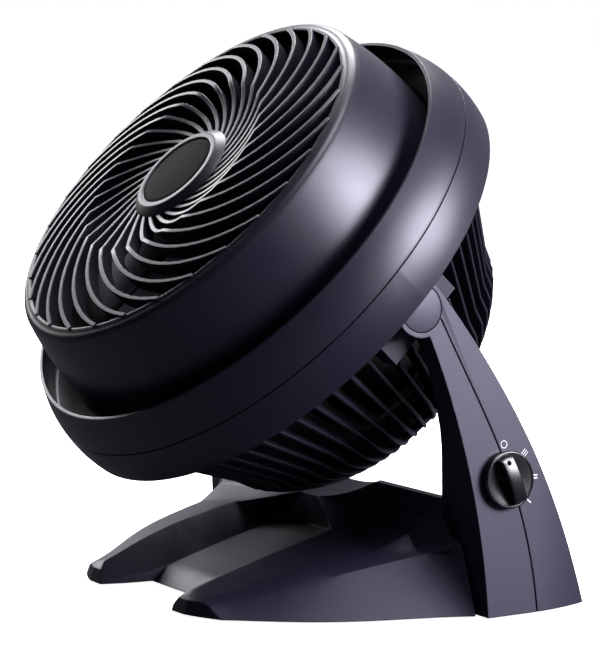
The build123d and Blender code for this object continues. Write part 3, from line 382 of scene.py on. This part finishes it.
wall, recess = shroud["wall"], shroud["recess"]
seamFace = shroud["seam"] + shroud["seamGap"]
outside = [p for p in ringSide(0) if p[1] > seamFace]
inside = [p for p in ringSide(wall) if p[1] > recess + shroud["cornerUpTo"]]
flare = arc(shroud["front"], shroud["flare"], shroud["foot"], shroud["flareSamples"])
innerFlare = [(r - wall, a) for r, a in reversed(flare)]
footR = shroud["foot"][0]
footFillet = [(footR + r, recess + a) for r, a in shroud["footFillet"]]
cornerR = inside[-1][0]
corner = rounded([(cornerR - shroud["cornerFrom"], recess), (cornerR, recess, shroud["cornerRound"]),
                  inside[-1]])[1:-1]
lipTop = [(inside[0][0] + shroud["lipInner"][0], inside[0][1] + shroud["lipInner"][1]),
          (shroud["lip"][0] - wall / 2, shroud["lip"][1] + shroud["lipCrown"]),
          (outside[0][0] - shroud["lipOuter"][0], outside[0][1] + shroud["lipOuter"][1])]
stepR = outside[-1][0] - shroud["seamStep"][0]
mouth = shroud["front"]
front = bmesh.new()
spun(front, [*flare, *footFillet, *corner, *reversed(inside[1:]), *lipTop, *outside[1:],
             (outside[-1][0], seamFace), (stepR, seamFace - shroud["seamStep"][1]), (stepR, recess - wall),
             (footR + shroud["footReach"], recess - wall), *innerFlare,
             (mouth[0] - wall + shroud["lead"], mouth[1] + shroud["lead"])], steps=192)
finishPiece(front, "frontShroud", headSpace, "head", finishes["housing_plastic"],
            ("front_shroud",))
print("front shroud made")

# rear cage: deep ribs on a cone that steps in to a dome, which ends at the motor's cup
cage = {"front": (142.3, 17.5), "bend": (105.0, -52.0), "step": (101.0, -64.0), "turn": (82.0, -83.6),
        "cup": (47.0, -98.0), "coneRows": 9, "domeRows": 10,
        "ribs": 64, "phase": -0.3125, "ribWidth": 2.2, "ribDepth": 16.0, "edgeRound": 0.8,
        "coneInset": (0.85, 0.05), "domeInset": (0.75, 0.6),
        "tuck": 1, "pocketHalf": 31.0, "pocketRear": -19.6, "pocketX": 117.0,
        "hoop": (3.0, 1.5, 0.8), "hoopAt": {"bend": (-12, 0), "turn": (-3.6, 1.6)},
        "ring": (10, 1.4, 3, 0.6), "cupR": 48.0, "cupWall": 2.5, "capSeat": 40.1, "cupRounds": (1.2, 0.6),
        "plate": -79.0, "plateDepth": 3, "plateBore": 12}
cone = [tuple(Vector(cage["front"]).lerp(Vector(cage["bend"]), row / cage["coneRows"]))
        for row in range(cage["coneRows"] + 1)]
dome = arc(cage["step"], cage["turn"], cage["cup"], cage["domeRows"])
cover = bmesh.new()
for i in range(cage["ribs"]):
    turn = radians(360 / cage["ribs"] * i + cage["phase"])
    # the ribs leave room for the pivot cheeks
    outline = [p for p in cone if abs(p[0] * sin(turn)) > cage["pocketHalf"] or p[1] < cage["pocketRear"]
               or abs(p[0] * cos(turn)) < cage["pocketX"]] + dome
    inner = []
    for r, a in outline:
        inset = cage["coneInset"] if a > cage["step"][1] else cage["domeInset"]
        innerR = max(r - cage["ribDepth"] * inset[0], cage["cup"][0] - cage["tuck"])
        inner.append((innerR, a + cage["ribDepth"] * inset[1]))
    sheet(cover, [(r * cos(turn), r * sin(turn), a) for r, a in outline],
          [(r * cos(turn), r * sin(turn), a) for r, a in inner])
thicken(finishPiece(cover, "rearCageRibs", headSpace, "head", finishes["grille_plastic"],
                    ("rear_grille",), 50), cage["ribWidth"], cage["edgeRound"])
print("cage made")

# hoops, front ring, motor plate and cup of the cage
frameParts = bmesh.new()
halfWidth, halfDepth, hoopRound = cage["hoop"]
for rowName, (outwards, along) in cage["hoopAt"].items():
    r, a = cage[rowName][0] + outwards, cage[rowName][1] + along
    spun(frameParts, rounded([(r + x * halfWidth, a + y * halfDepth, hoopRound)
                              for x, y in ((-1, -1), (1, -1), (1, 1), (-1, 1))]), steps=128)
frontR, frontA = cage["front"]
reach, setBack, depth, ringRound = cage["ring"]
spun(frameParts, rounded([(frontR - reach, frontA - depth, ringRound),
                          (frontR - setBack, frontA - depth, ringRound),
                          (frontR - setBack, frontA), (frontR - reach, frontA)]), steps=128)
cupR, cupRear, cupWall = cage["cupR"], cage["cup"][1], cage["cupWall"]
plateFront = cage["plate"] + cage["plateDepth"]
spun(frameParts, rounded([(cage["capSeat"], cupRear), (cupR, cupRear, cage["cupRounds"][0]),
                          (cupR, plateFront, cage["cupRounds"][1]), (cage["plateBore"], plateFront),
                          (cage["plateBore"], cage["plate"]), (cupR - cupWall, cage["plate"]),
                          (cupR - cupWall, cupRear + cupWall), (cage["capSeat"], cupRear + cupWall)]),
     steps=96)
finishPiece(frameParts, "rearCageFrame", headSpace, "head", finishes["grille_plastic"],
            ("rear_grille",))

# speed knob: dished disc with a raised rim, a grip crowned along its length and a dark pointer dot
knob = {"radius": 16.2, "gap": 0.4, "disc": 4.6, "bore": 3.2, "chamfer": 0.3,
        "rimDrop": 0.2, "rimRound": 1.0, "groove": 14.6, "grooveLip": 0.3, "grooveDepth": 0.6,
        "grooveWidth": 0.8, "dish": (9, 1.5), "sunk": 1.9, "bar": 5.5, "barWidth": 9.0, "barInset": 0.1,
        "barSlice": 2, "slices": 6, "taper": 0.93, "crown": 2.2, "sharpFrom": 0.8, "edgeRound": 0.8,
        "lean": 20.0, "dotAt": 10.4, "dot": 1.2,
        "dotOutline": ((0, 0.05), (0.55, 0.05), (0.7, 0.25), (1.0, 0.25), (1.2, 0))}
top = knob["gap"] + knob["disc"]
grooveR, grooveA = knob["groove"], top - knob["grooveDepth"]
leaned = Matrix.Rotation(radians(knob["lean"]), 3, "Z")
turned = bmesh.new()
spun(turned, rounded([(knob["bore"], knob["gap"]), (knob["radius"] - knob["chamfer"], knob["gap"]),
                      (knob["radius"], knob["gap"] + knob["chamfer"]),
                      (knob["radius"], top - knob["rimDrop"], knob["rimRound"]),
                      (grooveR + knob["grooveLip"], top, knob["grooveLip"]), (grooveR, grooveA),
                      (grooveR - knob["grooveWidth"], grooveA), (knob["dish"][0], top - knob["dish"][1]),
                      (knob["bore"], top - knob["sunk"])]), steps=128)
grip = bmesh.new()
bmesh.ops.create_circle(grip, cap_ends=True, segments=96, radius=grooveR - knob["barInset"])
bmesh.ops.translate(grip, verts=grip.verts, vec=(0, 0, top - knob["sunk"]))
for side in (1, -1):
    bmesh.ops.bisect_plane(grip, geom=grip.verts[:] + grip.edges[:] + grip.faces[:], clear_outer=True,
                           plane_co=(side * knob["barWidth"] / 2, 0, 0), plane_no=(side, 0, 0))
for i in range(-knob["slices"], knob["slices"] + 1):
    bmesh.ops.bisect_plane(grip, geom=grip.verts[:] + grip.edges[:] + grip.faces[:],
                           plane_co=(0, knob["barSlice"] * i, 0), plane_no=(0, 1, 0))
raised = bmesh.ops.extrude_face_region(grip, geom=grip.faces[:])["geom"]
crownVerts = [item for item in raised if isinstance(item, bmesh.types.BMVert)]
bmesh.ops.translate(grip, verts=crownVerts, vec=(0, 0, knob["bar"] + knob["sunk"]))
bmesh.ops.scale(grip, verts=crownVerts, vec=(knob["taper"], knob["taper"], 1))
for vert in crownVerts:
    vert.co.z -= knob["crown"] * (vert.co.y / grooveR) ** 2
topEdges = [edge for edge in grip.edges
            if edge.calc_face_angle(0) > knob["sharpFrom"] and min(v.co.z for v in edge.verts) > top]
bmesh.ops.bevel(grip, geom=topEdges, offset=knob["edgeRound"], segments=3, profile=0.5, affect="EDGES",
                material=-1, clamp_overlap=True)
gripData = bpy.data.meshes.new("grip")
grip.to_mesh(gripData)
grip.free()
turned.from_mesh(gripData)
bmesh.ops.rotate(turned, verts=turned.verts, cent=(0, 0, 0), matrix=leaned)
finishPiece(turned, "speedKnob", dialSpace, "knob", finishes["knob_plastic"],
            ("control_knob",), 35)
dot = bmesh.new()
spun(dot, [(r * knob["dot"], a) for r, a in knob["dotOutline"]], steps=32, closed=False)
fall = 2 * knob["crown"] * knob["dotAt"] / grooveR ** 2   # slope of the crown under the dot
bmesh.ops.rotate(dot, verts=dot.verts, cent=(0, 0, 0), matrix=Matrix.Rotation(-fall, 3, "X"))
bmesh.ops.translate(dot, verts=dot.verts,
                    vec=(0, knob["dotAt"], top + knob["bar"] - fall * knob["dotAt"] / 2))
bmesh.ops.rotate(dot, verts=dot.verts, cent=(0, 0, 0), matrix=leaned)
finishPiece(dot, "pointerDot", dialSpace, "knob", finishes["badge_plastic"])

# dial marks: ink 0.04 mm proud of the arm's face
marks = {"reach": 19.5, "ringR": 2.0, "ringWidth": 0.45, "ink": 0.04,
         # angle, count, length, width and spacing of the strokes
         "strokes": ((45, 3, 3.9, 0.45, 1.3), (0, 2, 4.5, 0.8, 1.6), (-41, 1, 4.6, 0.8, 0))}
ink = bmesh.new()
ringIn, ringOut = marks["ringR"] - marks["ringWidth"] / 2, marks["ringR"] + marks["ringWidth"] / 2
spun(ink, [(ringIn, 0), (ringOut, 0), (ringOut, marks["ink"]), (ringIn, marks["ink"])], steps=40)
bmesh.ops.translate(ink, verts=ink.verts, vec=(0, marks["reach"], 0))
for angle, count, length, width, gap in marks["strokes"]:
    for i in range(count):
        stroke = bmesh.ops.create_cube(ink, size=1)["verts"]
        bmesh.ops.scale(ink, verts=stroke, vec=(length, width, marks["ink"]))
        bmesh.ops.translate(ink, verts=stroke,
                            vec=(marks["reach"], (i - (count - 1) / 2) * gap, marks["ink"] / 2))
        bmesh.ops.rotate(ink, verts=stroke, cent=(0, 0, 0), matrix=Matrix.Rotation(radians(angle), 3, "Z"))
finishPiece(ink, "dialMarks", dialSpace, "stand", dialInk, sharp=30)

# pivot caps, flush in both arms
pivotCap = {"radius": 13.2, "depth": 2.2, "round": 0.5, "armTop": 138.0}
for side, name in ((1, "rightPivotCap"), (-1, "leftPivotCap")):
    outwards = Vector((side * dialOut.x, 0, dialOut.z))
    across = Vector((0, 1, 0))
    place = Matrix((across, outwards.cross(across), outwards)).transposed().to_4x4()
    place.translation = (side * pivotCap["armTop"] * mm, pivot.y, pivot.z)
    cap = bmesh.new()
    spun(cap, rounded([(0, 0), (pivotCap["radius"], 0, pivotCap["round"]),
                       (pivotCap["radius"], -pivotCap["depth"]), (0, -pivotCap["depth"])]),
         steps=96, closed=False)
    finishPiece(cap, name, place, "stand", finishes["stand_plastic"], ("pivot_caps",))
print("knob, marks and caps made")

# stand shells: the moulded edges rounded on a merged copy
stand = {"flat": 0.6, "round": 1.1, "edgeFrom": 28.0, "steps": 3, "merge": 0.02}
for nodeName, name in (("stand_front_shell", "standFront"), ("stand_rear_shell", "standRear")):
    shell = bmesh.new()
    shell.from_mesh(frame["nodes"][nodeName].data)
    bmesh.ops.remove_doubles(shell, verts=shell.verts, dist=stand["merge"] * mm)
    bmesh.ops.dissolve_limit(shell, angle_limit=radians(stand["flat"]), verts=shell.verts,
                             edges=shell.edges)
    data = bpy.data.meshes.new(name)
    shell.to_mesh(data)
    shell.free()
    data.materials.clear()
    data.materials.append(finishes["stand_plastic"])
    data.shade_smooth()
    data.set_sharp_from_angle(angle=radians(stand["edgeFrom"]))
    piece = bpy.data.objects.new(name, data)
    bpy.context.scene.collection.objects.link(piece)
    edging = piece.modifiers.new("mouldedEdges", "BEVEL")
    edging.width = stand["round"] * mm
    edging.segments = stand["steps"]
    edging.limit_method = "ANGLE"
    edging.angle_limit = radians(stand["edgeFrom"])
    edging.harden_normals = True
    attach(piece, "stand")
    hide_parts(nodeName)
print("stand made")

# floor, light and camera
studio = {"floor": 30.0, "glow": 0.9, "cameraAt": (1.3846, -0.8262, 0.3234), "aim": (0.0396, 0, 0.157),
          "lens": 153.9, "bright": (-0.1, 0.85, 0.5), "fade": (-0.15, 0.65), "sky": 0.4, "dim": 0.02,
          "backdrop": 1.0, "lampsAim": (0, 0, 0.15)}


def splitByRay(tree, unseen, seen, output):
    # the camera sees one shader, and the light and the reflections come from the other
    ray = addNode(tree, "ShaderNodeLightPath")
    mix = addNode(tree, "ShaderNodeMixShader", links={"Fac": ray.outputs["Is Camera Ray"]})
    tree.links.new(unseen, mix.inputs[1])
    tree.links.new(seen, mix.inputs[2])
    addNode(tree, output, links={"Surface": mix.outputs["Shader"]})


floorMesh = bmesh.new()
bmesh.ops.create_grid(floorMesh, x_segments=1, y_segments=1, size=studio["floor"])
floorData = bpy.data.meshes.new("floor")
floorMesh.to_mesh(floorData)
floorMesh.free()
floor = bpy.data.objects.new("floor", floorData)
bpy.context.scene.collection.objects.link(floor)
floorPaint, tree = newMaterial("paleFloor")
paleSide = addNode(tree, "ShaderNodeBsdfPrincipled",
                   {"Base Color": linear("#f2f2f2"), "Roughness": 0.8, "Specular IOR Level": 0.0,
                    "Emission Color": linear("#ffffff"), "Emission Strength": studio["glow"]})
# the floor as the fan's faces see it and are lit by it: painted shade, a mid grey darker than the pale floor,
# which keeps the fan's lower faces and their reflections dark
paintedShadeSide = addNode(tree, "ShaderNodeBsdfDiffuse", {"Color": linear("#4c4c54")})
splitByRay(tree, paintedShadeSide.outputs["BSDF"], paleSide.outputs["BSDF"], "ShaderNodeOutputMaterial")
floorData.materials.append(floorPaint)

# a white backdrop behind the fan, seen in its glancing faces, and a dim room on the camera's side
world = bpy.data.worlds.new("studio")
world.use_nodes = True
tree = world.node_tree
tree.nodes.clear()
direction = addNode(tree, "ShaderNodeTexCoord")
towards = addNode(tree, "ShaderNodeVectorMath", {"operation": "DOT_PRODUCT"},
                  {"Vector": direction.outputs["Generated"]})
towards.inputs[1].default_value = Vector(studio["bright"]).normalized()
fade = addNode(tree, "ShaderNodeMapRange",
               {"interpolation_type": "SMOOTHSTEP",
                "From Min": studio["fade"][0], "From Max": studio["fade"][1],
                "To Min": studio["dim"], "To Max": studio["sky"]},
               {"Value": towards.outputs["Value"]})
room = addNode(tree, "ShaderNodeBackground", {"Color": linear("#eef0ff")},
               {"Strength": fade.outputs["Result"]})
paper = addNode(tree, "ShaderNodeBackground", {"Color": linear("#ffffff"), "Strength": studio["backdrop"]})
splitByRay(tree, room.outputs["Background"], paper.outputs["Background"], "ShaderNodeOutputWorld")
bpy.context.scene.world = world
bpy.context.scene.view_settings.view_transform = "Standard"

softboxes = (
    {"name": "rearRightBox", "at": (1.35, 0.95, 0.75), "size": (0.9, 0.8), "power": 80},
    {"name": "overheadBox", "at": (0.55, 0.0, 1.9), "size": (0.9, 0.9), "power": 26},
    {"name": "leftBox", "at": (-1.6, -0.15, 0.8), "size": (0.7, 0.7), "power": 13},
    {"name": "topRearBox", "at": (-0.9, 0.65, 1.4), "size": (0.8, 0.6), "power": 30},
)
for box in softboxes:
    lamp = bpy.data.lights.new(box["name"], "AREA")
    lamp.shape = "RECTANGLE"
    lamp.size, lamp.size_y = box["size"]
    lamp.energy = box["power"]
    holder = bpy.data.objects.new(box["name"], lamp)
    holder.location = box["at"]
    towardsFan = Vector(studio["lampsAim"]) - Vector(box["at"])
    holder.rotation_euler = towardsFan.to_track_quat("-Z", "Y").to_euler()
    bpy.context.scene.collection.objects.link(holder)

lens = bpy.data.cameras.new("camera")
lens.lens = studio["lens"]
camera = bpy.data.objects.new("camera", lens)
camera.location = studio["cameraAt"]
camera.rotation_euler = (Vector(studio["aim"]) - camera.location).to_track_quat("-Z", "Y").to_euler()
bpy.context.scene.collection.objects.link(camera)
bpy.context.scene.camera = camera
print("stage set")
